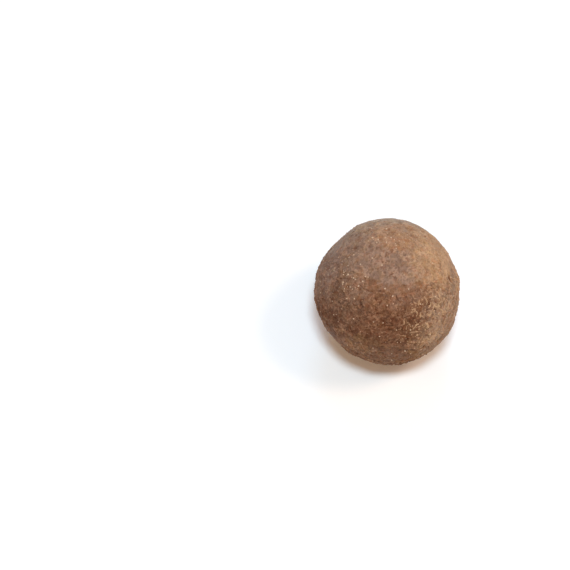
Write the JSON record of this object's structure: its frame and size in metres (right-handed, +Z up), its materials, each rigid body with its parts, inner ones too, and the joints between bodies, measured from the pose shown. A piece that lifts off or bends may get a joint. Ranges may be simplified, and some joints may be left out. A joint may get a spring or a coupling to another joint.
{
  "type": "moqui marble",
  "caption": "Round iron-oxide concretion, a nearly spherical rough brown stone that rests on a small flat spot.",
  "frame": {"origin": "on the flat spot that the stone rests on, under the middle of the stone", "axes": "+Z up, +X to the right and +Y to the back of the stone as it lies with its belt rising towards the front"},
  "size_m": [0.0352, 0.0358, 0.0339],
  "materials": {
    "ironstone": "matte, granular, weathered brown"
  },
  "bodies": {
    "root": {"stone": "ironstone"}
  },
  "joints": []
}
